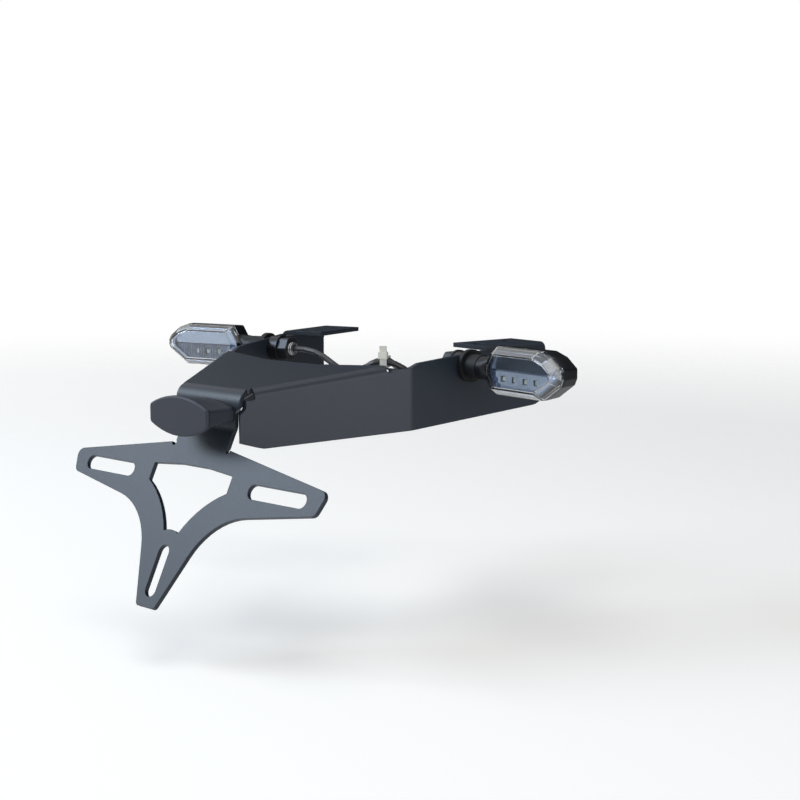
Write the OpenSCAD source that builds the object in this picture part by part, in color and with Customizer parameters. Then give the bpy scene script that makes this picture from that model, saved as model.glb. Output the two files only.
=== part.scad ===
// Tail tidy for a motorcycle: a folded steel bracket that carries the number plate,
// its lamp and the two rear indicators.
// X is the rider's right, Y points forward and Z up. The origin is the centre of the four
// bolt holes, on the upper face of the mounting tabs.

/* [Sheet metal] */
// Thickness of the folded steel sheet
sheet_t = 2.5; // [2:0.1:3]
// Outside radius of the tight folds
fold_r = 4; // [3.5:0.1:5]
// Outside radius of the wide bend between top face and rear flange
brow_r = 8; // [6:0.5:10]
// Inside radius of the shallow bend between hanger and flange
dip_r = 6; // [4:0.5:8]

/* [Place of the number plate] */
// Distance from the bolts' centre back to the line of the side slots
plate_reach = 170; // [165:1:190]
// Height of the bolts' centre above the line of the side slots
plate_drop = 64; // [62:0.5:72]
// Lean of the hanger from the vertical, foot to the rear
plate_tilt = 27; // [22:0.5:30]

/* [Hanger] */
// Width across the tips of the arms
hanger_w = 195; // [186:1:215]
// Height of an arm at its tip
tip_h = 12.6; // [11.5:0.1:15]
// Taper of an arm's upper and lower edges
arm_taper = 9.6; // [8.5:0.1:10.5]
// Distance from the slot line down to the end of the foot
leg_len = 68.7; // [66:0.1:80]
// Width of the foot's end
foot_w = 13.8; // [12.5:0.1:17]
// Taper of each side of the leg
leg_taper = 20.8; // [19:0.1:22]
// Radius between arm and leg
crotch_r = 39.6; // [36:0.1:42]
// Width of the bands beside the window
band_w = 15.8; // [14.5:0.1:17]
// Width of the window
window_w = 61; // [57:0.5:63]
// Height of the window above the slot line, at its sides
window_top = 6; // [3:0.1:7]
// Rise of the window's bowed upper edge in the middle
window_bow = 2.1; // [0.5:0.1:4]
// Sheet left between the window and the foot's slot
web_w = 8.4; // [6:0.1:10]
// Width of the three slots
slot_w = 7.7; // [6.5:0.1:8.2]
// Distance from the centre line to a side slot's inner end
slot_in = 44.8; // [42:0.1:52]
// Distance from the centre line to a side slot's outer end
slot_out = 85.5; // [75:0.1:87]
// Distance from the slot line down to the top of the foot's slot
foot_slot_top = 35.5; // [35:0.1:40]
// Length of the foot's slot
foot_slot_len = 27.6; // [18:0.1:28]
// Width of the neck between hanger and flange
neck_w = 40; // [34:1:44]
// Radius of the relief notches beside the neck
notch_r = 1.6; // [1:0.1:2]

/* [Flange and top face] */
// Distance from the slot line forward to the rear face of the flange
flange_y = 13.5; // [12:0.1:15]
// Width of the flange
flange_w = 49; // [47:0.5:50]
// Width of the flange below the shoulders at its corners
throat_w = 42.4; // [41:0.2:42.6]
// Height of the corner between flange and top face above the slot line
brow_z = 46.5; // [46:0.1:50]
// Slope of the top face, rising to the front
top_slope = 8.4; // [6:0.1:9]
// Length of the top face at the middle
top_len = 62; // [55:0.5:66]
// Distance from the flange to the ends of the folds beside the top face
fold_len = 71; // [68:0.5:74]
// Half width of the straight part of the front edge
nose_half = 20; // [10:1:30]
// Radius of the corner relief holes
relief_r = 2.2; // [1.8:0.1:2.4]

/* [Side walls] */
// Flare of the walls beside the top face, from straight ahead
flare = 29.5; // [28:0.1:31]
// Flare of the walls ahead of the crease
arm_flare = 11; // [9:0.1:13]
// Half width of the top face at the flange
root_half = 24.45; // [24.45:0.05:26]
// Distance from the flange forward to the crease
crease_y = 82; // [80:0.5:88]
// Outside radius of the crease
crease_r = 8; // [5:0.5:12]
// Height of the lowest corner of a wall above the slot line
hem_z = 16.6; // [14:0.1:18]
// Slope of the walls' lower edge
hem_slope = 4.2; // [3:0.1:5]
// Gap between flange and wall at the rear corner
corner_gap = 0.8; // [0.5:0.1:1.5]

/* [Mounting tabs] */
// Distance between left and right bolt holes
bolt_x = 136; // [130:0.5:140]
// Distance between front and rear bolt holes
bolt_y = 26; // [20:0.5:30]
// Diameter of the bolt holes, for M6
bolt_d = 6.6; // [6.2:0.1:7]
// Width of a tab from the outside of the wall
tab_w = 29; // [28:0.5:34]
// Sheet around the outer bolt holes, along the tab
tab_rim = 9; // [8:0.5:12]

/* [Number-plate lamp] */
// Width of the lamp's face
lamp_w = 45; // [42:0.5:46]
// Height of the lamp's face
lamp_h = 21; // [19.5:0.5:22]
// Height of the face's straight ends
lamp_end_h = 9.5; // [8:0.5:11]
// Depth of the lamp from gasket to face
lamp_depth = 18.6; // [17:0.1:22]
// Height of the middle of the lamp's face above the slot line
lamp_z = 34.2; // [33.8:0.1:34.8]
// Thickness of the rim round the face
rim_t = 2; // [1.6:0.1:2.6]
// Fall of the hood's top from the face to the flange
hood_fall = 2; // [1.5:0.1:3]
// Rise of the hood's underside from the face to the flange
hood_rise = 4; // [3.8:0.1:5]
// Width of the lens opening
lamp_lens_w = 34; // [30:0.5:35]
// Depth of the lens opening
lamp_lens_d = 12; // [10:0.5:12.5]
// Thickness of the gasket
gasket_t = 1.5; // [1:0.1:2]
// Distance between the lamp's two studs
stud_pitch = 28; // [26:0.5:30]
// Height of the studs above the slot line
stud_z = 34; // [33.5:0.1:34.2]
// Diameter of the lamp's studs, for M5
lamp_stud_d = 5; // [4:0.5:5]
// Depth of the studs in the hood
stud_embed = 3.5; // [3:0.1:3.5]
// Height of the lens's flat top above the foot of the lamp's face
lens_rise = 5.8; // [5.4:0.1:6]
// Diameter of the grommet's hole
grommet_d = 9; // [8:0.5:10]

/* [Indicators] */
// Distance from the tabs' rear edge back to an indicator's stud
ind_behind = 13; // [11:0.2:18]
// Height of the studs above the slot line
ind_z = 54.3; // [50:0.1:54.5]
// Length of the lamp body
ind_len = 55.6; // [50:0.2:60]
// Height of the lamp body
ind_h = 26; // [24:0.5:30]
// Depth of the black housing behind the parting line
ind_back = 12; // [10:0.5:14]
// Depth of the clear cover in front of the parting line
ind_front = 7.5; // [6.5:0.1:9]
// Length of the slopes at the outer end
tip_chamfer = 16; // [14:0.5:20]
// Length of the chamfers at the inner end
root_chamfer = 6; // [5:0.5:9]
// Wall thickness of the clear cover
cover_t = 1.6; // [1.4:0.1:2]
// Diameter of the indicator stud, for M8
ind_stud_d = 8; // [7:0.5:8]
// Bore of the indicator stud
ind_stud_bore = 4.4; // [4:0.1:4.8]
// Outer diameter of the rubber bush
bush_d = 13.4; // [13:0.2:15]
// Length of the rubber bush between wall and housing
bush_len = 12; // [9:0.5:15]
// Length of the sleeve inside the wall
spacer_len = 5.5; // [4:0.5:12]
// Number of LEDs in each indicator
ind_leds = 4; // [3:1:5]

/* [Leads] */
// Diameter of a sheathed lead
lead_d = 3.6; // [3:0.1:3.8]
// Width of the cable ties
tie_w = 3.6; // [2.5:0.1:4.8]
// Thickness of the cable ties' band
tie_t = 1.2; // [1:0.1:1.4]

/* [Hidden] */
$fn = 48;
// Angle between two points of a round corner
arc_step = 6;
// Space between a rigid piece and the seat it fits into
seat_gap = 0.1;

// Vectors, lines and outlines

function unit(v) = v / norm(v);
function signed_angle(a) = a > 180 ? a - 360 : a < -180 ? a + 360 : a;
// Where the line through p along u crosses the line through q along w
function meet(p, u, q, w) =
    p + u * ((q.x - p.x) * w.y - (q.y - p.y) * w.x) / (u.x * w.y - u.y * w.x);
// Centre of the arc of radius r that touches both sides of corner b
function corner_centre(a, b, c, r) =
    let (u = unit(a - b), w = unit(c - b)) b + unit(u + w) * r / sin(acos(u * w) / 2);
// Corner b as an arc of radius r, or as the plain point where r is 0
function corner(a, b, c, r) =
    r == 0 ? [b] :
    let (u = unit(a - b), w = unit(c - b), m = corner_centre(a, b, c, r),
         reach = r / tan(acos(u * w) / 2), p = b + u * reach, q = b + w * reach,
         from = atan2(p.y - m.y, p.x - m.x),
         sweep = signed_angle(atan2(q.y - m.y, q.x - m.x) - from),
         steps = max(2, ceil(abs(sweep) / arc_step)))
    [for (k = [0 : steps]) m + r * [cos(from + sweep * k / steps), sin(from + sweep * k / steps)]];
// Closed outline from [x, y, corner radius] points
function rounded(p) =
    let (n = len(p))
    [for (i = [0 : n - 1])
        let (a = p[(i + n - 1) % n], b = p[i], c = p[(i + 1) % n])
        each corner([a.x, a.y], [b.x, b.y], [c.x, c.y], b[2])];
// Right half of an outline, joined to its mirror image
function both_halves(p) = concat(p, [for (i = [len(p) - 1 : -1 : 0]) [-p[i].x, p[i].y, p[i][2]]]);
// Points on a circle from angle a to angle b
function arc(m, r, a, b) =
    let (steps = max(2, ceil(abs(b - a) / arc_step)))
    [for (k = [0 : steps]) m + r * [cos(a + (b - a) * k / steps), sin(a + (b - a) * k / steps)]];
// Convex outline, listed against the clock, with every side moved in by d
function inset(p, d) =
    let (n = len(p), u = [for (i = [0 : n - 1]) unit(p[(i + 1) % n] - p[i])])
    [for (i = [0 : n - 1])
        let (v = u[(i + n - 1) % n], w = u[i])
        meet(p[i] + d * [-v.y, v.x], v, p[i] + d * [-w.y, w.x], w)];
// Path moved by t to its right-hand side
function beside(p, t) =
    let (n = len(p),
         side = [for (i = [0 : n - 2]) let (d = unit(p[i + 1] - p[i])) [d.y, -d.x]])
    [for (i = [0 : n - 1])
        i == 0 ? p[0] + t * side[0] :
        i == n - 1 ? p[i] + t * side[n - 2] :
        p[i] + t * (side[i - 1] + side[i]) / (1 + side[i - 1] * side[i])];
// Change of a bend's radius from the path's own face to the face t beside it
function bend_change(a, b, c, t) =
    let (u = b - a, w = c - b) (u.x * w.y - u.y * w.x) * t > 0 ? abs(t) : -abs(t);
// Outline of a folded strip: one face follows the path, with radius r[i] at its inner corner i
function strip(p, t, r) =
    let (q = beside(p, t), last = len(p) - 1)
    rounded(concat(
        [for (i = [0 : last]) [p[i].x, p[i].y, i == 0 || i == last ? 0 : r[i - 1]]],
        [for (i = [last : -1 : 0]) [q[i].x, q[i].y,
            i == 0 || i == last ? 0 : r[i - 1] + bend_change(p[i - 1], p[i], p[i + 1], t)]]));

// Outline drawn across the machine, x to the right and y up, and given a depth forward from y0
module across(y0, depth) {
    translate([0, y0 + depth, 0]) rotate([90, 0, 0]) linear_extrude(depth) children();
}
// Outline drawn from the side, x forward and y up, and given a width to the right from x0
module along(x0, width) {
    translate([x0, 0, 0]) rotate([90, 0, 90]) linear_extrude(width) children();
}
// Round bar along x from x0
module bar_x(x0, length, d) {
    translate([x0, 0, 0]) rotate([0, 90, 0]) cylinder(h = length, d = d);
}
// Round bar along y from y0
module bar_y(y0, length, d) {
    translate([0, y0, 0]) rotate([-90, 0, 0]) cylinder(h = length, d = d);
}
// What follows is measured from the middle of the side slots' line, on the hanger's rear face
module at_plate() {
    translate([0, -plate_reach, -plate_drop]) children();
}

// Bracket: hanger, neck, flange, top face, walls and tabs from one sheet

arm_dir = [cos(arm_taper), sin(arm_taper)];
leg_dir = [sin(leg_taper), cos(leg_taper)];
tip_cut = 4;
tip_top = [hanger_w / 2, tip_h / 2];
tip_foot = [hanger_w / 2 - tip_cut, -tip_h / 2];
foot_corner = [foot_w / 2, -leg_len];
crotch = meet(tip_foot, arm_dir, foot_corner, leg_dir);
crotch_m = corner_centre(tip_foot, crotch, foot_corner, crotch_r);
arm_root = [neck_w / 2, tip_top.y + (tip_top.x - neck_w / 2) * tan(arm_taper)];
// The neck's straight part ends where the shallow bend begins
bend_s = flange_y / sin(plate_tilt);
neck_top = bend_s - dip_r * tan(plate_tilt / 2) - 2;

module hanger_outline() {
    polygon(rounded(both_halves([
        [neck_w / 2 - 2, arm_root.y + 4, 0],
        [neck_w / 2 - 2, arm_root.y + 2 * tan(arm_taper), 0],
        [tip_top.x, tip_top.y, 4],
        [tip_foot.x, tip_foot.y, 4],
        [crotch.x, crotch.y, crotch_r],
        [foot_corner.x, foot_corner.y, 2.5]])));
}

// Window: a bowed upper edge, short upright sides, sides parallel to the crotch arcs
// and a lower edge round the foot's slot
module window_outline() {
    half = window_w / 2;
    side_r = crotch_r + band_w;
    slot_m = [0, -foot_slot_top - slot_w / 2];
    web_r = slot_w / 2 + web_w;
    bow_r = (half * half + window_bow * window_bow) / (2 * window_bow);
    bow_a = asin(half / bow_r);
    side_a = atan2(sqrt(side_r * side_r - pow(crotch_m.x - half, 2)), half - crotch_m.x);
    span = norm(crotch_m - slot_m);
    to_m = unit(crotch_m - slot_m);
    foot = (web_r * web_r - side_r * side_r + span * span) / (2 * span);
    low = slot_m + foot * to_m + sqrt(web_r * web_r - foot * foot) * [-to_m.y, to_m.x];
    low_a = atan2(low.y - crotch_m.y, low.x - crotch_m.x);
    web_a = atan2(low.y - slot_m.y, low.x - slot_m.x);
    right = arc(crotch_m, side_r, side_a, low_a + (low_a < 0 ? 360 : 0));
    polygon(concat(
        arc([0, window_top + window_bow - bow_r], bow_r, 90 + bow_a, 90 - bow_a),
        right,
        arc(slot_m, web_r, web_a, 180 - web_a),
        [for (i = [len(right) - 1 : -1 : 0]) [-right[i].x, right[i].y]]));
}

// Slot between two ends on a line, with round ends
module slot_outline(a, b) {
    r = slot_w / 2;
    d = unit(b - a);
    n = [-d.y, d.x] * r;
    translate(a + d * r) circle(r);
    translate(b - d * r) circle(r);
    polygon([a + d * r + n, a + d * r - n, b - d * r - n, b - d * r + n]);
}

module hanger_cuts() {
    window_outline();
    for (s = [-1, 1]) {
        slot_outline([s * slot_in, 0], [s * slot_out, 0]);
        translate([s * (neck_w / 2 + notch_r * 0.6), arm_root.y - notch_r * 0.4]) circle(notch_r);
    }
    slot_outline([0, -foot_slot_top], [0, -foot_slot_top - foot_slot_len]);
}

// Rear faces of hanger and flange and the upper face of the top, seen from the side
top_ahead = fold_len + 4;
side_path = [
    [-(leg_len + 5) * sin(plate_tilt), -(leg_len + 5) * cos(plate_tilt)],
    [flange_y, bend_s * cos(plate_tilt)],
    [flange_y, brow_z],
    [flange_y + top_ahead, brow_z + top_ahead * tan(top_slope)]];
function top_z(y) = brow_z + (y - flange_y) * tan(top_slope);
function wall_x(y) = root_half + (y - flange_y) * tan(flare);
// How far a tight fold's round part reaches from its sharp corner
fold_reach = fold_r * tan((90 - asin(sin(flare) * sin(top_slope))) / 2);
fold_leg = fold_reach + 4;

module top_outline() {
    lap = fold_reach + 1.5;
    rear = flange_y + brow_r - 1;
    front = flange_y + fold_len;
    polygon(both_halves([
        [wall_x(rear) - lap / cos(flare), rear, 0],
        [wall_x(front) - lap / cos(flare), front, 0],
        [nose_half, flange_y + top_len, 0]]) * [[1, 0], [0, 1], [0, 0]]);
}

module spine() {
    intersection() {
        along(-hanger_w / 2 - 1, hanger_w + 2)
            polygon(strip(side_path, sheet_t, [dip_r, brow_r]));
        union() {
            rotate([90 - plate_tilt, 0, 0]) translate([0, 0, -2 * sheet_t])
                linear_extrude(3 * sheet_t) hanger_outline();
            across(0, flange_y + brow_r)
                polygon(rounded(both_halves([
                    [neck_w / 2, (arm_root.y - 3) * cos(plate_tilt), 0],
                    [neck_w / 2, neck_top * cos(plate_tilt) + 1, 6],
                    [throat_w / 2, bend_s * cos(plate_tilt) + 2, 6],
                    [throat_w / 2, brow_z - 11, 2],
                    [flange_w / 2, brow_z - 7.5, 2],
                    [flange_w / 2, brow_z + 5, 0]])));
            translate([0, 0, brow_z - brow_r]) linear_extrude(30) top_outline();
        }
    }
}

// Tight fold along a top edge: wall leg down, top leg inward, both joined by the bend
module fold_strip(length, leg, width, bank) {
    rotate([90, 0, 0]) translate([0, 0, -length]) linear_extrude(length)
        polygon(strip([[0, -leg], [0, 0], [-width * cos(bank), width * sin(bank)]],
            -sheet_t, [fold_r]));
}

// Side wall: a strip seen from above with the tight fold along its upper edge, both drawn
// with the wall's outer face on x = 0 and y along the wall, then cut to the side view
crease = [wall_x(flange_y + crease_y), flange_y + crease_y];
arm_end_y = plate_reach + bolt_y / 2 + tab_rim;
tab_y = plate_reach - bolt_y / 2 - tab_rim;
fold_end = flange_y + fold_len;
wall_rear = flange_y + sheet_t + corner_gap;
ear_rear = flange_y + 0.3;
function arm_x(y) = crease.x + (y - crease.y) * tan(arm_flare);
function hem(y) = hem_z + (y - flange_y - 11) * tan(hem_slope);
function down_wall(y) = (y - flange_y) / cos(flare);

module wall_blank() {
    start = flange_y + brow_r - 1;
    rise = atan(tan(top_slope) * cos(flare));
    under = fold_reach + 1.3;
    turn = flare - arm_flare;
    bend = [0, down_wall(crease.y)];
    ahead = (arm_end_y + 2 - crease.y) / cos(arm_flare);
    translate([root_half, flange_y, 0]) rotate([0, 0, -flare]) {
        difference() {
            linear_extrude(plate_drop + 10) polygon(strip([
                [0, down_wall(wall_rear - 3)], bend, bend + ahead * [-sin(turn), cos(turn)]],
                -sheet_t, [crease_r]));
            along(-50, 60) polygon([
                [down_wall(wall_rear - 9), top_z(wall_rear - 9) - under],
                [down_wall(fold_end + 1), top_z(fold_end + 1) - under],
                [down_wall(fold_end + 1), plate_drop + 20],
                [down_wall(wall_rear - 9), plate_drop + 20]]);
        }
        translate([0, down_wall(start), top_z(start)]) rotate([rise, 0, 0])
            fold_strip((down_wall(fold_end + 3) - down_wall(start)) / cos(rise),
                fold_leg, fold_leg, asin(sin(flare) * sin(top_slope)));
    }
}

module wall_view() {
    low = flange_y + 11;
    under = fold_reach + 1.3;
    edge = top_z(fold_end) - fold_reach + 2;
    polygon(rounded([
        [wall_rear, brow_z - 8.5, 2],
        [ear_rear, brow_z - 13, 2],
        [ear_rear, hem_z + 3.4, 3],
        [low, hem_z, 6],
        [arm_end_y, hem(arm_end_y), 10],
        [arm_end_y, plate_drop - under, 0],
        [tab_y, plate_drop - under, 0],
        [tab_y, plate_drop - 2, 1],
        [crease.y + 5, edge + 2.5, 5],
        [crease.y - 1, edge, 5],
        [fold_end, edge, 0],
        [fold_end, plate_drop, 0],
        [wall_rear, plate_drop, 0]]));
}

module side_wall() {
    intersection() {
        wall_blank();
        along(0, hanger_w) wall_view();
    }
}

module tab() {
    run = (arm_end_y - tab_y) / cos(arm_flare);
    translate([arm_x(tab_y), tab_y, plate_drop]) rotate([0, 0, -arm_flare])
        fold_strip(run, fold_leg, tab_w, 0);
}

module bracket_holes() {
    for (x = [-1, 1], y = [-1, 1])
        translate([x * bolt_x / 2, plate_reach + y * bolt_y / 2, plate_drop - 10])
            cylinder(h = 20, d = bolt_d);
    for (x = [-1, 1]) translate([x * stud_pitch / 2, 0, stud_z])
        bar_y(flange_y - 1, sheet_t + 2, lamp_stud_d + 0.5);
    translate([0, 0, stud_z]) bar_y(flange_y - 1, sheet_t + 2, grommet_d);
    for (s = [0, 1]) mirror([s, 0, 0]) {
        at_indicator() bar_x(-sheet_t - 1, sheet_t + 2, spigot_d + 2 * seat_gap);
        translate([wall_x(flange_y + brow_r - 2) - 2, flange_y + brow_r - 2, brow_z - 4.5])
            cylinder(h = 12, r = relief_r);
        along(wall_x(fold_end) - 3 * fold_r, 4 * fold_r)
            translate([fold_end + 0.5, top_z(fold_end) - 2]) circle(1.5);
    }
}

module bracket() {
    color([0.33, 0.36, 0.42]) at_plate() difference() {
        union() {
            difference() {
                spine();
                rotate([90 - plate_tilt, 0, 0]) translate([0, 0, -2 * sheet_t])
                    linear_extrude(3 * sheet_t) hanger_cuts();
            }
            for (s = [0, 1]) mirror([s, 0, 0]) {
                side_wall();
                tab();
            }
        }
        bracket_holes();
    }
}

// Number-plate lamp: a moulded hood on the flange, lit from inside through its underside

// Barrel outline: bowed top and bottom with short upright ends, centred on the origin
function barrel(w, h, end_h) =
    let (bow = (h - end_h) / 2, r = (w * w / 4 + bow * bow) / (2 * bow), a = asin(w / 2 / r),
         top = arc([0, h / 2 - r], r, 90 - a, 90 + a), last = len(top) - 1)
    rounded(concat(
        [for (i = [0 : last]) [top[i].x, top[i].y, i == 0 || i == last ? 2 : 0]],
        [for (i = [0 : last]) [-top[i].x, -top[i].y, i == 0 || i == last ? 2 : 0]]));

lamp_back = flange_y - gasket_t;
lead_run = 7.5;
lamp_face = lamp_back - lamp_depth;
hood_w = lamp_w - 2;
hood_h = lamp_h - 2;
// Height of the ceiling above the board
board_room = 2.6;
lens_top = lamp_z - lamp_h / 2 + lens_rise;
board_top = lens_top + board_room;

// Slab with the outline of the hood's end at the flange
module foot_slab(y0, depth) {
    translate([0, 0, lamp_z + (hood_rise - hood_fall) / 2]) across(y0, depth)
        polygon(barrel(hood_w, hood_h - hood_fall - hood_rise, lamp_end_h - 3));
}

module hood_body() {
    hull() {
        translate([0, 0, lamp_z]) across(lamp_face + rim_t - 0.5, 1)
            polygon(barrel(hood_w, hood_h, lamp_end_h - 1));
        foot_slab(lamp_back - 1, 1);
    }
}

module lens_pocket(gap, top) {
    translate([-lamp_lens_w / 2 + gap, lamp_back - 3 - lamp_lens_d + gap, 0])
        cube([lamp_lens_w - 2 * gap, lamp_lens_d - 2 * gap, top]);
}

module lamp_housing() {
    color([0.12, 0.13, 0.15]) at_plate() difference() {
        union() {
            hood_body();
            hull() {
                translate([0, 0, lamp_z]) across(lamp_face, 0.5)
                    polygon(barrel(lamp_w - 1.4, lamp_h - 1.4, lamp_end_h - 0.7));
                translate([0, 0, lamp_z]) across(lamp_face + 0.7, rim_t - 0.7)
                    polygon(barrel(lamp_w, lamp_h, lamp_end_h));
            }
        }
        lens_pocket(0, lens_top);
        lens_pocket(1, board_top);
        for (x = [-1, 1]) translate([x * stud_pitch / 2, 0, stud_z])
            bar_y(lamp_back - stud_embed, stud_embed + 1, lamp_stud_d + 2 * seat_gap);
        translate([0, 0, stud_z]) bar_y(lamp_back - lead_run, lead_run + 1, lead_d + 4 * seat_gap);
        translate([-lead_d / 2 - 0.2, lamp_back - lead_run, board_top - 1])
            cube([lead_d + 0.4, lead_d + 1, stud_z - board_top + 1]);
    }
}

module lamp_lens() {
    color([0.8, 0.83, 0.86, 0.6]) at_plate() intersection() {
        hood_body();
        lens_pocket(seat_gap, lens_top);
    }
}

module lamp_led_board() {
    color([0.75, 0.78, 0.7]) at_plate() {
        d = lamp_lens_d - 2 - 4 * seat_gap;
        w = lamp_lens_w - 2 - 4 * seat_gap;
        y = lamp_back - 2 - lamp_lens_d + 2 * seat_gap;
        translate([-w / 2, y, board_top - 1.2]) cube([w, d, 1.2]);
        for (i = [-1, 0, 1])
            translate([i * w / 3.4 - 1.4, y + d / 2 - 1.4, board_top - 2]) cube([2.8, 2.8, 0.9]);
    }
}

module lamp_gasket() {
    color([0.08, 0.08, 0.09]) at_plate() difference() {
        foot_slab(lamp_back, gasket_t);
        for (x = [-1, 1]) translate([x * stud_pitch / 2, 0, stud_z])
            bar_y(lamp_back - 1, gasket_t + 2, lamp_stud_d + 0.6);
        translate([0, 0, stud_z]) bar_y(lamp_back - 1, gasket_t + 2, grommet_d + 3 + 2 * seat_gap);
    }
}

nut_m5_h = 4;
washer_m5_t = 1;
module lamp_studs() {
    color([0.7, 0.71, 0.73]) at_plate()
        for (x = [-1, 1]) translate([x * stud_pitch / 2, 0, stud_z])
            bar_y(lamp_back - stud_embed + seat_gap,
                stud_embed - seat_gap + gasket_t + sheet_t + washer_m5_t + nut_m5_h + 1.5, lamp_stud_d);
}

module lamp_washers() {
    color([0.75, 0.76, 0.78]) at_plate()
        for (x = [-1, 1]) translate([x * stud_pitch / 2, 0, stud_z]) difference() {
            bar_y(flange_y + sheet_t, washer_m5_t, 2 * lamp_stud_d);
            bar_y(flange_y + sheet_t - 1, washer_m5_t + 2, lamp_stud_d + 0.3);
        }
}

// Hexagon nut with its axis along y, seated at y0
module nut_y(y0, height, across_flats, bore) {
    difference() {
        intersection() {
            translate([0, y0, 0]) rotate([-90, 0, 0])
                cylinder(h = height, d = across_flats / cos(30), $fn = 6);
            translate([0, y0, 0]) rotate([-90, 0, 0]) cylinder(h = height, d = across_flats * 1.1);
        }
        bar_y(y0 - 1, height + 2, bore);
    }
}

module lamp_nuts() {
    color([0.75, 0.76, 0.78]) at_plate()
        for (x = [-1, 1]) translate([x * stud_pitch / 2, 0, stud_z])
            nut_y(flange_y + sheet_t + washer_m5_t, nut_m5_h, lamp_stud_d + 3, lamp_stud_d + 2 * seat_gap);
}

// Grommet: a collar on each side of the flange and a waist in the hole
module lamp_grommet() {
    lip = 1.3;
    color([0.07, 0.07, 0.08]) at_plate() translate([0, 0, stud_z]) difference() {
        union() {
            bar_y(flange_y - lip, lip, grommet_d + 3);
            bar_y(flange_y - lip, sheet_t + 2 * lip, grommet_d - 2 * seat_gap);
            bar_y(flange_y + sheet_t, lip, grommet_d + 3);
        }
        bar_y(flange_y - 5, sheet_t + 10, lead_d + 2 * seat_gap);
    }
}

// Indicators: x points out of the wall along the stud, y forward along the wall, z up

spigot_d = 11;
module at_indicator() {
    translate([arm_x(tab_y - ind_behind), tab_y - ind_behind, ind_z]) rotate([0, 0, -arm_flare]) children();
}
module on_side(side) {
    at_plate() mirror([side == "left" ? 1 : 0, 0, 0]) at_indicator() children();
}

body_x = bush_len + 8;
parting_y = -2;
ind_end = body_x + ind_len;
// Corners of the lamp body in its own x and z, against the clock
ind_corners = [
    [body_x, -3],
    [body_x + root_chamfer, -ind_h / 2],
    [ind_end - 0.86 * tip_chamfer, -ind_h / 2],
    [ind_end - 1.8, -5],
    [ind_end, -1.2],
    [ind_end, 4.5],
    [ind_end - 7.6, ind_h / 2 - 2.7],
    [ind_end - tip_chamfer, ind_h / 2],
    [body_x + root_chamfer, ind_h / 2],
    [body_x, 3]];
// Outline of the lamp body, moved in by d
function ind_outline(d) =
    rounded([for (p = inset(ind_corners, d)) [p.x, p.y, max(0.6, 2.4 - d)]]);
board_t = 1.6;
tray_t = 1.2;
pocket_floor = parting_y + 4;

module indicator_housing(side) {
    color([0.1, 0.1, 0.11]) on_side(side) difference() {
        union() {
            hull() {
                across(parting_y, 2) polygon(ind_outline(0));
                across(parting_y + ind_back - 2.5, 1) polygon(ind_outline(0.8));
                across(parting_y + ind_back - 0.5, 0.5) polygon(ind_outline(2.6));
            }
            hull() {
                bar_x(bush_len, 4, bush_d - 0.6);
                translate([body_x + 4, parting_y, -7]) cube([1, ind_back - 5, 14]);
            }
        }
        translate([body_x, parting_y - 20, -ind_h]) cube([ind_len + 10, 20, 2 * ind_h]);
        across(parting_y - 1, pocket_floor - parting_y + 1) polygon(ind_outline(3));
        bar_x(bush_len - 1, 7, ind_stud_d + 2 * seat_gap);
        bar_x(bush_len, 14, ind_stud_bore);
    }
}

module indicator_lens(side) {
    color([0.75, 0.8, 0.85, 0.45]) on_side(side) difference() {
        hull() {
            across(parting_y - 1.5, 1.5) polygon(ind_outline(0));
            across(parting_y - ind_front, 0.5) polygon(ind_outline(3.5));
        }
        hull() {
            across(parting_y - 1.5, 2.5) polygon(ind_outline(cover_t));
            across(parting_y - ind_front + cover_t, 0.5)
                polygon(ind_outline(3.5 + cover_t * 0.7));
        }
    }
}

// LEDs stand in a row below the middle, between fine upright flutes
led_row_z = -4.5;
flute_pitch = 1.9;
led_pitch = (ind_len - tip_chamfer - root_chamfer) / ind_leds;
function led_x(i) = body_x + root_chamfer + (i + 0.5) * led_pitch;
board_front = pocket_floor - board_t;
tray_rim = 3 + 2 * seat_gap;

// Flutes of the tray's lower half, seen from above
module flutes(left, wide, y0, depth) {
    n = round(wide / flute_pitch);
    w = wide / n;
    polygon(concat([[left, y0]], [for (i = [0 : n - 1]) each [
        [left + (i + 0.5) * w, y0 - depth], [left + (i + 1) * w, y0]]],
        [[left + wide, y0 + 0.4], [left, y0 + 0.4]]));
}

module indicator_reflector(side) {
    deep = board_front - tray_t;
    left = body_x + tray_rim + 1;
    wide = ind_len - 2 * tray_rim - 2;
    color([0.8, 0.82, 0.86]) on_side(side) difference() {
        union() {
            difference() {
                across(deep - 3.4, tray_t + 3.4) polygon(ind_outline(tray_rim));
                across(deep - 4, 4) polygon(ind_outline(tray_rim + 1));
            }
            intersection() {
                across(deep - 3.4, tray_t + 3.4) polygon(ind_outline(tray_rim));
                union() {
                    along(left, wide) polygon([[deep + 0.2, -0.6], [deep - 2, 0.6],
                        [deep - 3.2, ind_h / 2], [deep + 0.2, ind_h / 2]]);
                    translate([0, 0, -ind_h / 2]) linear_extrude(ind_h / 2 - 0.4)
                        flutes(left, wide, deep, 1.2);
                }
            }
        }
        for (i = [0 : ind_leds - 1])
            translate([led_x(i) - 1.6, deep - 2, led_row_z - 1.6]) cube([3.2, tray_t + 3, 3.2]);
    }
}

module indicator_led_board(side) {
    color([0.85, 0.86, 0.8]) on_side(side) {
        across(board_front, board_t) polygon(ind_outline(tray_rim));
        for (i = [0 : ind_leds - 1])
            translate([led_x(i) - 1.2, board_front - 1, led_row_z - 1.2]) cube([2.4, 1.2, 2.4]);
    }
}

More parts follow.
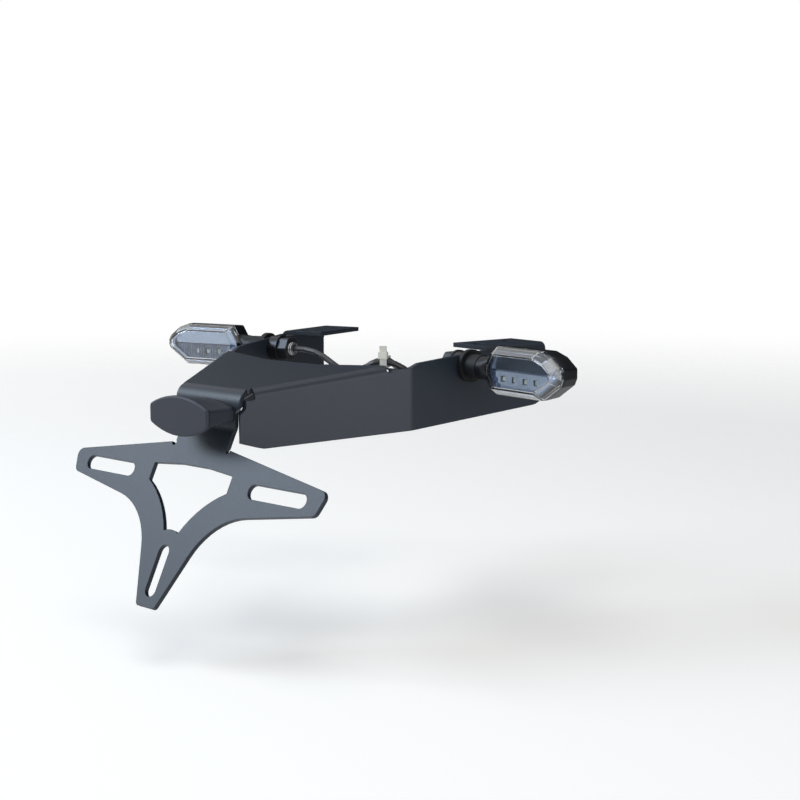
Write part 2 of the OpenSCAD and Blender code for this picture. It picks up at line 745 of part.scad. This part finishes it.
module indicator_bush(side) {
    color([0.09, 0.09, 0.1]) on_side(side) difference() {
        union() {
            bar_x(0, 3, bush_d + 4.6);
            bar_x(0, bush_len, bush_d);
            bar_x(-sheet_t + seat_gap, sheet_t, spigot_d);
        }
        bar_x(-sheet_t - 1, bush_len + sheet_t + 2, ind_stud_d + 2 * seat_gap);
    }
}

washer_m8_t = 1.6;
nut_m8_h = 6.5;
module indicator_spacer(side) {
    color([0.11, 0.11, 0.12]) on_side(side) difference() {
        bar_x(-sheet_t - spacer_len, spacer_len, ind_stud_d + 7);
        bar_x(-sheet_t - spacer_len - 1, spacer_len + 2, ind_stud_d + 2 * seat_gap);
    }
}

module indicator_washer(side) {
    x0 = -sheet_t - spacer_len - washer_m8_t;
    color([0.72, 0.73, 0.75]) on_side(side) difference() {
        bar_x(x0, washer_m8_t, 2 * ind_stud_d);
        bar_x(x0 - 1, washer_m8_t + 2, ind_stud_d + 0.4);
    }
}

module indicator_nut(side) {
    x0 = -sheet_t - spacer_len - washer_m8_t - nut_m8_h;
    color([0.72, 0.73, 0.75]) on_side(side) rotate([0, 0, -90])
        nut_y(x0, nut_m8_h, ind_stud_d + 5, ind_stud_d + 2 * seat_gap);
}

module indicator_stud(side) {
    x0 = -sheet_t - spacer_len - washer_m8_t - nut_m8_h - 2;
    color([0.7, 0.71, 0.73]) on_side(side) difference() {
        bar_x(x0, bush_len + 6 - seat_gap - x0, ind_stud_d);
        bar_x(x0 - 1, bush_len + 8 - x0, ind_stud_bore);
    }
}

// Leads, plugs and tie

// Tube of diameter d along a path that is nowhere upright
module tube(path, d) {
    sides = 8;
    last = len(path) - 1;
    polyhedron(
        points = [for (i = [0 : last])
            let (u = unit(path[min(i + 1, last)] - path[max(i - 1, 0)]),
                 v = unit(cross([0, 0, 1], u)), w = cross(u, v))
            for (k = [0 : sides - 1])
                path[i] + d / 2 * (cos(k * 360 / sides) * v + sin(k * 360 / sides) * w)],
        faces = concat(
            [[for (k = [0 : sides - 1]) k]],
            [[for (k = [sides - 1 : -1 : 0]) last * sides + k]],
            [for (i = [0 : last - 1], k = [0 : sides - 1])
                let (a = i * sides + k, b = i * sides + (k + 1) % sides)
                each [[a, a + sides, b + sides], [a, b + sides, b]]]));
}

stud_inner = -sheet_t - spacer_len - washer_m8_t - nut_m8_h - 2;
ind_y = tab_y - ind_behind;
// Point on the axis of a stud, x out of the wall; s is 1 on the right and -1 on the left
function on_axis(s, x) = [s * (arm_x(ind_y) + x * cos(arm_flare)), ind_y - x * sin(arm_flare), ind_z];
// Point inside the right wall, off from its inner face
function inner_x(y) = y < crease.y ? wall_x(y) - sheet_t / cos(flare) : arm_x(y) - sheet_t / cos(arm_flare);
function lane(y, off, z) = [inner_x(y) - off, y, z];
function moved(seat, points) = [for (p = points) seat + p];
// Start of an indicator's lead, face to face with the LED board and straight through the stud
function led_end(s) =
    [for (x = [body_x + tray_rim - 0.02, bush_len, 0, stud_inner, stud_inner - 4]) on_axis(s, x)];
// Seat of an indicator on its wall
function ind_seat(s) = [s * arm_x(ind_y), ind_y, ind_z];

// Middles of the cable tie round the lamp's lead and round the left indicator's lead
tie_dir = unit([0.884, 0.468, 0]);
tie_lamp = [wall_x(fold_end) - 7.12, fold_end + 4.1, top_z(fold_end) + 1.52];
tie_ind = tie_lamp + (lead_d + 0.25) * [-tie_dir.y, tie_dir.x, 0];
function through_tie(p) = [p - 2 * tie_dir, p + 2 * tie_dir];

// From the tie forward the leads run down beside the wall, below the indicator's nut
ahead = (ind_y - tie_lamp.y) / 46.4;
plug_y = tab_y + 24;
plug_off = 4;
plug_len = 18;
// Heights of the right indicator's, the lamp's and the left indicator's plug
plug_z = [plate_drop - 15, plate_drop - 22, plate_drop - 29];
function plug_end(z) = [for (y = [plug_y - 8, plug_y - 4, plug_y - 0.02]) lane(y, plug_off, z)];
function down(from, steps) = [for (s = steps) lane(from.y + ahead * s[0], s[1], from.z - s[2])];
right_route = concat(led_end(1), moved(ind_seat(1), [
    [-26.3, 5.4, -0.3], [-29.9, 7.6, -1.4], [-31.3, 11, -3.1], [-30.1, 14.6, -4.7],
    [-26.1, 17.2, -6], [-18.5, 19, -6.9], [-11, 20.8, -7], [-5, 23.8, -6.2], [-2, 26.6, -5.5]]),
    plug_end(plug_z[0]));
left_route = concat(led_end(-1),
    moved(ind_seat(-1), [[26.5, 5.2, -0.1], [33.5, 5.6, -1.1], [42.5, 3.2, -2.9], [58.5, -5, -5.7]]),
    moved(tie_lamp, [[-52.5, 23.4, -11], [-27.5, 8, -7.5], [-15.5, 3.4, -3.9],
        [-9.5, 1.8, -1.4], [-6.5, 1.1, -0.4]]),
    through_tie(tie_ind),
    down(tie_ind, [[3, 8.4, 1.9], [6.4, 7.6, 5.9], [10.4, 6.7, 10.9], [16, 5.7, 16.5],
        [21.5, 4.2, 19.9], [28, 2.4, 22.1], [42, 2.4, 23], [58, 2.4, 23.3]]),
    plug_end(plug_z[2]));
lamp_route = concat(
    [[0, lamp_back - 5.4, stud_z], [0, flange_y, stud_z], [0, flange_y + 4.5, stud_z]],
    [for (p = [[1.5, 16.5, 11.2], [6, 27.5, 6.9], [13, 37.5, 5.1], [21, 48.5, 5.4], [30, 60.5, 5.8]])
        [p.x, flange_y + p.y, top_z(flange_y + p.y) - p.z]],
    moved(tie_lamp, [[-21, -7.6, -7.8], [-16.5, -4.4, -6.4], [-11.7, -3, -4.2],
        [-7.2, -2.8, -1.5], [-4.5, -2.7, -0.4]]),
    through_tie(tie_lamp),
    down(tie_lamp, [[3.2, 3.5, 1.2], [7, 3.5, 3.7], [11.9, 2.5, 7.3], [17.9, 2.3, 11.3],
        [27.4, 2.4, 15.9], [36.4, 2.4, 18], [47.4, 2.4, 18.7], [59.4, 2.4, 18.7], [68.4, 3.1, 17.5]]),
    plug_end(plug_z[1]));

module lead(route) {
    color([0.06, 0.06, 0.07]) at_plate() tube(route, lead_d);
}

// Two-way plug with a latch, its rear end face to face with its lead
module plug(i) {
    half = 3.5;
    color([0.12, 0.12, 0.13]) at_plate()
        translate(lane(plug_y, plug_off, plug_z[i])) rotate([0, 0, -arm_flare]) {
        difference() {
            translate([-half, 0, -3]) cube([2 * half, plug_len, 6]);
            for (x = [-1, 1]) translate([x * 1.6, 0, 0]) bar_y(plug_len - 8, 9, 2.2);
        }
        for (y = [1.5, 4.1]) translate([-half - 0.6, y, -3]) cube([0.8, 1.6, 6]);
        translate([-half - 1.5, plug_len - 10, -1.5]) cube([0.8, 9, 3]);
        translate([-half - 1.5, plug_len - 10, -1.5]) cube([1.7, 2, 3]);
    }
}

// Tie round the left indicator's lead and the lamp's lead, with its head at the rear end
module cable_tie() {
    r = lead_d / 2 + 0.15;
    half = norm(tie_ind - tie_lamp) / 2 + 0.1;
    outer = half + r + tie_t;
    color([0.9, 0.89, 0.84]) at_plate() translate((tie_ind + tie_lamp) / 2)
        rotate([0, 0, atan2(tie_dir.y, tie_dir.x) - 90]) {
            translate([0, tie_w / 2, 0]) rotate([90, 0, 0]) linear_extrude(tie_w) difference() {
                polygon(rounded([[-outer, -r - tie_t, r], [outer, -r - tie_t, r],
                    [outer, r + tie_t, r], [-outer, r + tie_t, r]]));
                polygon(rounded([[-half - r, -r, r - 0.6], [half + r, -r, r - 0.6],
                    [half + r, r, r - 0.6], [-half - r, r, r - 0.6]]));
            }
            translate([outer - tie_t - 0.6, -tie_w / 2 - 0.6, r]) cube([3.2, tie_w + 1.2, 3.6]);
            translate([outer - tie_t, -tie_w / 2, r + 3]) rotate([0, 12, 0]) cube([tie_t, tie_w, 4]);
        }
}

bracket();
lamp_housing();
lamp_lens();
lamp_led_board();
lamp_gasket();
lamp_studs();
lamp_washers();
lamp_nuts();
lamp_grommet();
lead(lamp_route);  // lamp_lead
lead(right_route);  // right_indicator_lead
lead(left_route);  // left_indicator_lead
plug(0);  // right_indicator_plug
plug(2);  // left_indicator_plug
plug(1);  // lamp_plug
cable_tie();
for (side = ["right", "left"]) {
    indicator_housing(side);
    indicator_lens(side);
    indicator_reflector(side);
    indicator_led_board(side);
    indicator_bush(side);
    indicator_stud(side);
    indicator_spacer(side);
    indicator_washer(side);
    indicator_nut(side);
}
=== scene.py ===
import math

import bpy
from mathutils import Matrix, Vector


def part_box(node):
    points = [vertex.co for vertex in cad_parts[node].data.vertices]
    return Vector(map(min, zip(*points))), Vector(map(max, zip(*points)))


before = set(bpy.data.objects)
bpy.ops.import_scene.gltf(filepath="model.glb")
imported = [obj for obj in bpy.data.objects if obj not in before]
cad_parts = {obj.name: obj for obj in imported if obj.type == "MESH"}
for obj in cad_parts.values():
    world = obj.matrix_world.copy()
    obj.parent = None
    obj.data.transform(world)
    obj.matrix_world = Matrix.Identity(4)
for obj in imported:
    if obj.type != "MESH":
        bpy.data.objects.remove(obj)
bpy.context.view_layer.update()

# Camera
# Stands to the right of and behind the machine, a little above the plate hanger. Its lens is
# the one that the photograph's perspective gives on a 36 mm sensor.
eye = Vector((0.5510, -0.6399, 0.0747))
view_direction = Vector((-0.648, 0.750, -0.134))
lens_mm = 63.05

camera = bpy.data.objects.new("camera", bpy.data.cameras.new("camera"))
camera.data.lens = lens_mm
camera.data.sensor_width = 36
camera.data.clip_start = 0.01
camera.location = eye
camera.rotation_euler = view_direction.to_track_quat("-Z", "Y").to_euler()
bpy.context.scene.collection.objects.link(camera)
bpy.context.scene.camera = camera


# Studio
# A pale floor under the hanger's foot that fades into a white surround. A large cool softbox
# high on the left rear lights the hanger, a weaker one on the right fills the side walls, a
# third from above lights the floor, and a black flag ahead of the tail holds the darks.
def linear(hex_colour):
    """Linear RGBA from an sRGB hex colour such as 30343a."""
    channels = [int(hex_colour[i:i + 2], 16) / 255 for i in (0, 2, 4)]
    return [c / 12.92 if c <= 0.04045 else ((c + 0.055) / 1.055) ** 2.4 for c in channels] + [1]


def add(tree, kind, inputs=None, **settings):
    """Add a shader node with its settings, and link or set its inputs."""
    made = tree.nodes.new("ShaderNode" + kind)
    for name, value in settings.items():
        setattr(made, name, value)
    for name, value in (inputs or {}).items():
        if isinstance(value, bpy.types.NodeSocket):
            tree.links.new(value, made.inputs[name])
        else:
            made.inputs[name].default_value = value
    return made


def material(name):
    """New material with an empty node tree, and its output node."""
    made = bpy.data.materials.new(name)
    made.use_nodes = True
    made.node_tree.nodes.clear()
    return made, made.node_tree, made.node_tree.nodes.new("ShaderNodeOutputMaterial")


def seen_rays(tree):
    """One for rays from the camera, off metal or through glass, and zero for the others."""
    path = add(tree, "LightPath").outputs
    seen = path["Is Camera Ray"]
    for kind in ("Is Glossy Ray", "Is Transmission Ray"):
        seen = add(tree, "Math", {0: seen, 1: path[kind]}, operation="MAXIMUM").outputs["Value"]
    return seen


foot_above_floor = 0.03
floor_radius = 2.5
fade_from, fade_to = 0.15, 2.0
paper_glow = 0.36
floor_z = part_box("bracket")[0].z - foot_above_floor
bpy.ops.mesh.primitive_circle_add(
    vertices=96, radius=floor_radius, fill_type="NGON", location=(0, 0, floor_z))
floor = bpy.context.object
floor.name = "floor"
paper, tree, out = material("matt_studio_paper")
place = add(tree, "TexCoord").outputs["Object"]
reach = add(tree, "VectorMath", {0: place}, operation="LENGTH").outputs["Value"]
fade = add(tree, "MapRange", {"Value": reach, "From Min": fade_from, "From Max": fade_to},
           interpolation_type="SMOOTHSTEP").outputs["Result"]
lift = add(tree, "Math", {0: seen_rays(tree), 1: paper_glow}, operation="MULTIPLY").outputs["Value"]
glow = add(tree, "Emission", {"Color": linear("ffffff"), "Strength": lift}).outputs["Emission"]
sheet = add(tree, "BsdfDiffuse", {"Color": linear("f6f0e8")}).outputs["BSDF"]
sheet = add(tree, "AddShader", {0: sheet, 1: glow}).outputs["Shader"]
clear = add(tree, "BsdfTransparent").outputs["BSDF"]
both = add(tree, "MixShader", {0: fade, 1: sheet, 2: clear}).outputs["Shader"]
tree.links.new(both, out.inputs["Surface"])
floor.data.materials.append(paper)

surround = bpy.data.worlds.new("surround")
surround.use_nodes = True
tree = surround.node_tree
tree.nodes.clear()
lit = add(tree, "Background", {"Color": linear("d5dae2"), "Strength": 0.3}).outputs["Background"]
white = add(tree, "Background", {"Color": linear("ffffff"), "Strength": 1.0}).outputs["Background"]
both = add(tree, "MixShader", {0: seen_rays(tree), 1: lit, 2: white}).outputs["Shader"]
tree.links.new(both, tree.nodes.new("ShaderNodeOutputWorld").inputs["Surface"])
bpy.context.scene.world = surround
bpy.context.scene.view_settings.view_transform = "Standard"

for name, spot, aim, size, watts, tint in (
        ("key_softbox", (-1.5, -1.5, 1.2), (0, -0.15, -0.04), 1.2, 42, (0.70, 0.84, 1.0)),
        ("side_softbox", (1.8, -0.5, -0.05), (0.08, -0.05, -0.02), 0.9, 11, (0.86, 0.92, 1.0)),
        ("top_softbox", (0.2, -0.5, 1.8), (0, -0.1, 0), 1.0, 9, (1.0, 1.0, 1.0))):
    softbox = bpy.data.lights.new(name, "AREA")
    softbox.shape = "SQUARE"
    softbox.size = size
    softbox.energy = watts
    softbox.color = tint
    lamp = bpy.data.objects.new(name, softbox)
    lamp.location = spot
    lamp.rotation_euler = (Vector(aim) - Vector(spot)).to_track_quat("-Z", "Y").to_euler()
    bpy.context.scene.collection.objects.link(lamp)

felt, tree, out = material("black_flag_felt")
nap = add(tree, "BsdfDiffuse", {"Color": linear("0c0c0d")}).outputs["BSDF"]
tree.links.new(nap, out.inputs["Surface"])
bpy.ops.mesh.primitive_plane_add(size=1, location=(0, 0.75, 0.25), rotation=(math.radians(90), 0, 0))
flag = bpy.context.object
flag.name = "black_flag"
flag.scale = (3.2, 1.3, 1)
flag.data.materials.append(felt)
flag.visible_camera = False
flag.visible_transmission = False
flag.visible_shadow = False


# Bracket
# One laser-cut and folded sheet of 2.5 mm mild steel: plate hanger, flange, top face, side
# walls and tabs. Sprayed with black polyester powder and baked, which leaves a satin skin
# with a very fine orange peel and rounds every cut edge a little.
def dress(node_name, finish):
    """Give a CAD node its finish."""
    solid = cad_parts[node_name]
    solid.data.materials.clear()
    solid.data.materials.append(finish)
    return solid


# Powder coat: a bluish black in two close tones, 45 mm apart, with a peel of 1.1 mm that
# breaks up the gloss and softens every highlight.
mm = 0.001
peel_mm = 1.1
cloud_mm = 45
powder_coat, tree, out = material("satin_black_powder_coated_steel")
place = add(tree, "TexCoord").outputs["Object"]
peel = add(tree, "TexNoise", {"Vector": place, "Scale": 1000 / peel_mm, "Detail": 2.0}).outputs["Fac"]
cloud = add(tree, "TexNoise", {"Vector": place, "Scale": 1000 / cloud_mm, "Detail": 3.0}).outputs["Fac"]
tone = add(tree, "MixRGB", {
    "Fac": cloud, "Color1": linear("1f262f"), "Color2": linear("262d37")}).outputs["Color"]
gloss = add(tree, "MapRange", {"Value": peel, "To Min": 0.36, "To Max": 0.46}).outputs["Result"]
soft_edge = add(tree, "Bevel", {"Radius": 0.5 * mm}, samples=4).outputs["Normal"]
skin = add(tree, "Bump", {
    "Height": peel, "Strength": 0.12, "Distance": 0.2 * mm, "Normal": soft_edge}).outputs["Normal"]
coat = add(tree, "BsdfPrincipled", {
    "Base Color": tone, "Roughness": gloss, "IOR": 1.5, "Specular IOR Level": 0.35, "Normal": skin})
tree.links.new(coat.outputs["BSDF"], out.inputs["Surface"])
dress("bracket", powder_coat)


# Number-plate lamp
# A black ABS hood with a barrel-shaped face, closed underneath by a clear window with the
# LED board above it. Two steel studs moulded into the hood clamp it to the flange over a
# rubber gasket, with a washer and a nut on each, and its lead leaves through a grommet.
def moulded_abs(name, colour, shiny, dull, specular, edge_mm):
    """Spark-eroded ABS, matt with a grain 0.9 mm across, coarser than real so that it shows."""
    made, tree, out = material(name)
    place = add(tree, "TexCoord").outputs["Object"]
    grain = add(tree, "TexVoronoi", {"Vector": place, "Scale": 1000 / 0.9}).outputs["Distance"]
    soft_edge = add(tree, "Bevel", {"Radius": edge_mm * mm}, samples=6).outputs["Normal"]
    skin = add(tree, "Bump", {
        "Height": grain, "Strength": 0.06, "Distance": 0.2 * mm, "Normal": soft_edge}).outputs["Normal"]
    gloss = add(tree, "MapRange", {"Value": grain, "To Min": shiny, "To Max": dull}).outputs["Result"]
    plastic = add(tree, "BsdfPrincipled", {
        "Base Color": linear(colour), "Roughness": gloss, "IOR": 1.53, "Specular IOR Level": specular,
        "Normal": skin})
    tree.links.new(plastic.outputs["BSDF"], out.inputs["Surface"])
    return made


# The hood's 242833 is a lighter, bluer copy of the indicators' black ABS 121417: painted light,
# standing for the key light that falls on the lamp face.
dress("lamp_housing", moulded_abs("black_abs_lightened_for_painted_light", "242833", 0.42, 0.5, 0.35, 1.1))

# Polycarbonate from a polished mould: water clear with a faint blue cast and bright edges
clear_polycarbonate, tree, out = material("clear_moulded_polycarbonate")
soft_edge = add(tree, "Bevel", {"Radius": 0.4 * mm}, samples=4).outputs["Normal"]
plastic = add(tree, "BsdfPrincipled", {
    "Base Color": linear("f2f6fa"), "Roughness": 0.05, "IOR": 1.58, "Transmission Weight": 1.0,
    "Normal": soft_edge})
tree.links.new(plastic.outputs["BSDF"], out.inputs["Surface"])
dress("lamp_lens", clear_polycarbonate)

# Glass-epoxy board under white solder resist, in which the weave shows as a mottle of 1.1 mm
white_board, tree, out = material("white_solder_resist_board")
place = add(tree, "TexCoord").outputs["Object"]
weave = add(tree, "TexNoise", {"Vector": place, "Scale": 1000 / 1.1}).outputs["Fac"]
tone = add(tree, "MixRGB", {
    "Fac": weave, "Color1": linear("d9dcd2"), "Color2": linear("c9cdc4")}).outputs["Color"]
board = add(tree, "BsdfPrincipled", {"Base Color": tone, "Roughness": 0.45, "IOR": 1.5})
tree.links.new(board.outputs["BSDF"], out.inputs["Surface"])
dress("lamp_led_board", white_board)

# EPDM rubber, dull from the mould, with a bloom of 0.8 mm
black_rubber, tree, out = material("moulded_black_rubber")
place = add(tree, "TexCoord").outputs["Object"]
grain = add(tree, "TexNoise", {"Vector": place, "Scale": 1000 / 0.8, "Detail": 2.0}).outputs["Fac"]
skin = add(tree, "Bump", {"Height": grain, "Strength": 0.1, "Distance": 0.2 * mm}).outputs["Normal"]
gloss = add(tree, "MapRange", {"Value": grain, "To Min": 0.5, "To Max": 0.62}).outputs["Result"]
rubber = add(tree, "BsdfPrincipled", {
    "Base Color": linear("131417"), "Roughness": gloss, "IOR": 1.52, "Specular IOR Level": 0.25,
    "Normal": skin})
tree.links.new(rubber.outputs["BSDF"], out.inputs["Surface"])
dress("lamp_gasket", black_rubber)
dress("lamp_grommet", black_rubber)

# Zinc plate, bright and a little cloudy every 2.5 mm
zinc_plate, tree, out = material("bright_zinc_plated_steel")
place = add(tree, "TexCoord").outputs["Object"]
spangle = add(tree, "TexNoise", {"Vector": place, "Scale": 1000 / 2.5, "Detail": 3.0}).outputs["Fac"]
gloss = add(tree, "MapRange", {"Value": spangle, "To Min": 0.22, "To Max": 0.36}).outputs["Result"]
tone = add(tree, "MixRGB", {
    "Fac": spangle, "Color1": linear("b9bcc0"), "Color2": linear("a7a9ab")}).outputs["Color"]
soft_edge = add(tree, "Bevel", {"Radius": 0.3 * mm}, samples=4).outputs["Normal"]
zinc = add(tree, "BsdfPrincipled", {
    "Base Color": tone, "Metallic": 1.0, "Roughness": gloss, "Normal": soft_edge})
tree.links.new(zinc.outputs["BSDF"], out.inputs["Surface"])
for name in ("lamp_studs", "lamp_washers", "lamp_nuts"):
    dress(name, zinc_plate)


# Indicators
# One on each arm. A black ABS housing and a clear polycarbonate cover meet on an upright
# parting line, with a metallised tray and an LED board between them. A hollow zinc-plated
# stud comes through a rubber bush in the wall and is held inside by a sleeve, washer and nut.
# Aluminium vapour on a moulded tray: a bright, slightly blue mirror for the LEDs
chrome_tray, tree, out = material("vacuum_metallised_tray")
metal = add(tree, "BsdfPrincipled", {"Base Color": linear("a3adbc"), "Metallic": 1.0, "Roughness": 0.2})
tree.links.new(metal.outputs["BSDF"], out.inputs["Surface"])

# Black passivated zinc plate, a dark satin metal
black_zinc, tree, out = material("black_zinc_plated_steel")
soft_edge = add(tree, "Bevel", {"Radius": 0.3 * mm}, samples=4).outputs["Normal"]
metal = add(tree, "BsdfPrincipled", {
    "Base Color": linear("3a3b3f"), "Metallic": 0.85, "Roughness": 0.34, "Normal": soft_edge})
tree.links.new(metal.outputs["BSDF"], out.inputs["Surface"])

# Rolled thread of the M8 studs, which lie across the machine: bright rings one pitch apart. A
# wave texture of scale 1 repeats every pi / 10 metres.
thread_mm = 1.25
threaded_stud, tree, out = material("zinc_plated_rolled_thread")
place = add(tree, "TexCoord").outputs["Object"]
thread = add(tree, "TexWave", {"Vector": place, "Scale": math.pi / 10 / (thread_mm * mm)},
             bands_direction="X").outputs["Fac"]
flanks = add(tree, "Bump", {"Height": thread, "Strength": 0.9, "Distance": 0.4 * mm}).outputs["Normal"]
zinc = add(tree, "BsdfPrincipled", {
    "Base Color": linear("b0b3b6"), "Metallic": 1.0, "Roughness": 0.3, "Normal": flanks})
tree.links.new(zinc.outputs["BSDF"], out.inputs["Surface"])

black_abs = moulded_abs("moulded_black_abs", "121417", 0.34, 0.42, 0.22, 0.6)
for side in ("right", "left"):
    dress(side + "_indicator_housing", black_abs)
    dress(side + "_indicator_lens", clear_polycarbonate)
    dress(side + "_indicator_reflector", chrome_tray)
    dress(side + "_indicator_led_board", white_board)
    dress(side + "_indicator_bush", black_rubber)
    dress(side + "_indicator_stud", threaded_stud)
    for piece in ("spacer", "washer", "nut"):
        dress(side + "_indicator_" + piece, black_zinc)


# Wiring
# Three leads, one from each indicator and one from the plate lamp, each with a plug at its
# end. A natural nylon tie beside the top face binds the left indicator's to the lamp's.

# Extruded PVC, smooth with a soft sheen
sheath, tree, out = material("black_pvc_sheath")
soft_edge = add(tree, "Bevel", {"Radius": 1.2 * mm}, samples=6).outputs["Normal"]
pvc = add(tree, "BsdfPrincipled", {
    "Base Color": linear("1b1b1e"), "Roughness": 0.42, "IOR": 1.53, "Normal": soft_edge})
tree.links.new(pvc.outputs["BSDF"], out.inputs["Surface"])

# Glass-filled nylon, satin with a grain of 0.9 mm
plug_nylon, tree, out = material("black_moulded_nylon")
place = add(tree, "TexCoord").outputs["Object"]
grain = add(tree, "TexNoise", {"Vector": place, "Scale": 1000 / 0.9, "Detail": 2.0}).outputs["Fac"]
gloss = add(tree, "MapRange", {"Value": grain, "To Min": 0.4, "To Max": 0.5}).outputs["Result"]
soft_edge = add(tree, "Bevel", {"Radius": 0.3 * mm}, samples=4).outputs["Normal"]
nylon = add(tree, "BsdfPrincipled", {
    "Base Color": linear("1e1e21"), "Roughness": gloss, "IOR": 1.53, "Normal": soft_edge})
tree.links.new(nylon.outputs["BSDF"], out.inputs["Surface"])

for lamp_name in ("right_indicator", "left_indicator", "lamp"):
    dress(lamp_name + "_lead", sheath)
    dress(lamp_name + "_plug", plug_nylon)

# Unfilled nylon, milky because light soaks 2 mm into it
tie_nylon, tree, out = material("natural_nylon")
soft_edge = add(tree, "Bevel", {"Radius": 0.3 * mm}, samples=4).outputs["Normal"]
nylon = add(tree, "BsdfPrincipled", {
    "Base Color": linear("e9e6da"), "Roughness": 0.38, "IOR": 1.53, "Subsurface Weight": 0.2,
    "Subsurface Scale": 2 * mm, "Normal": soft_edge})
tree.links.new(nylon.outputs["BSDF"], out.inputs["Surface"])
dress("cable_tie", tie_nylon)
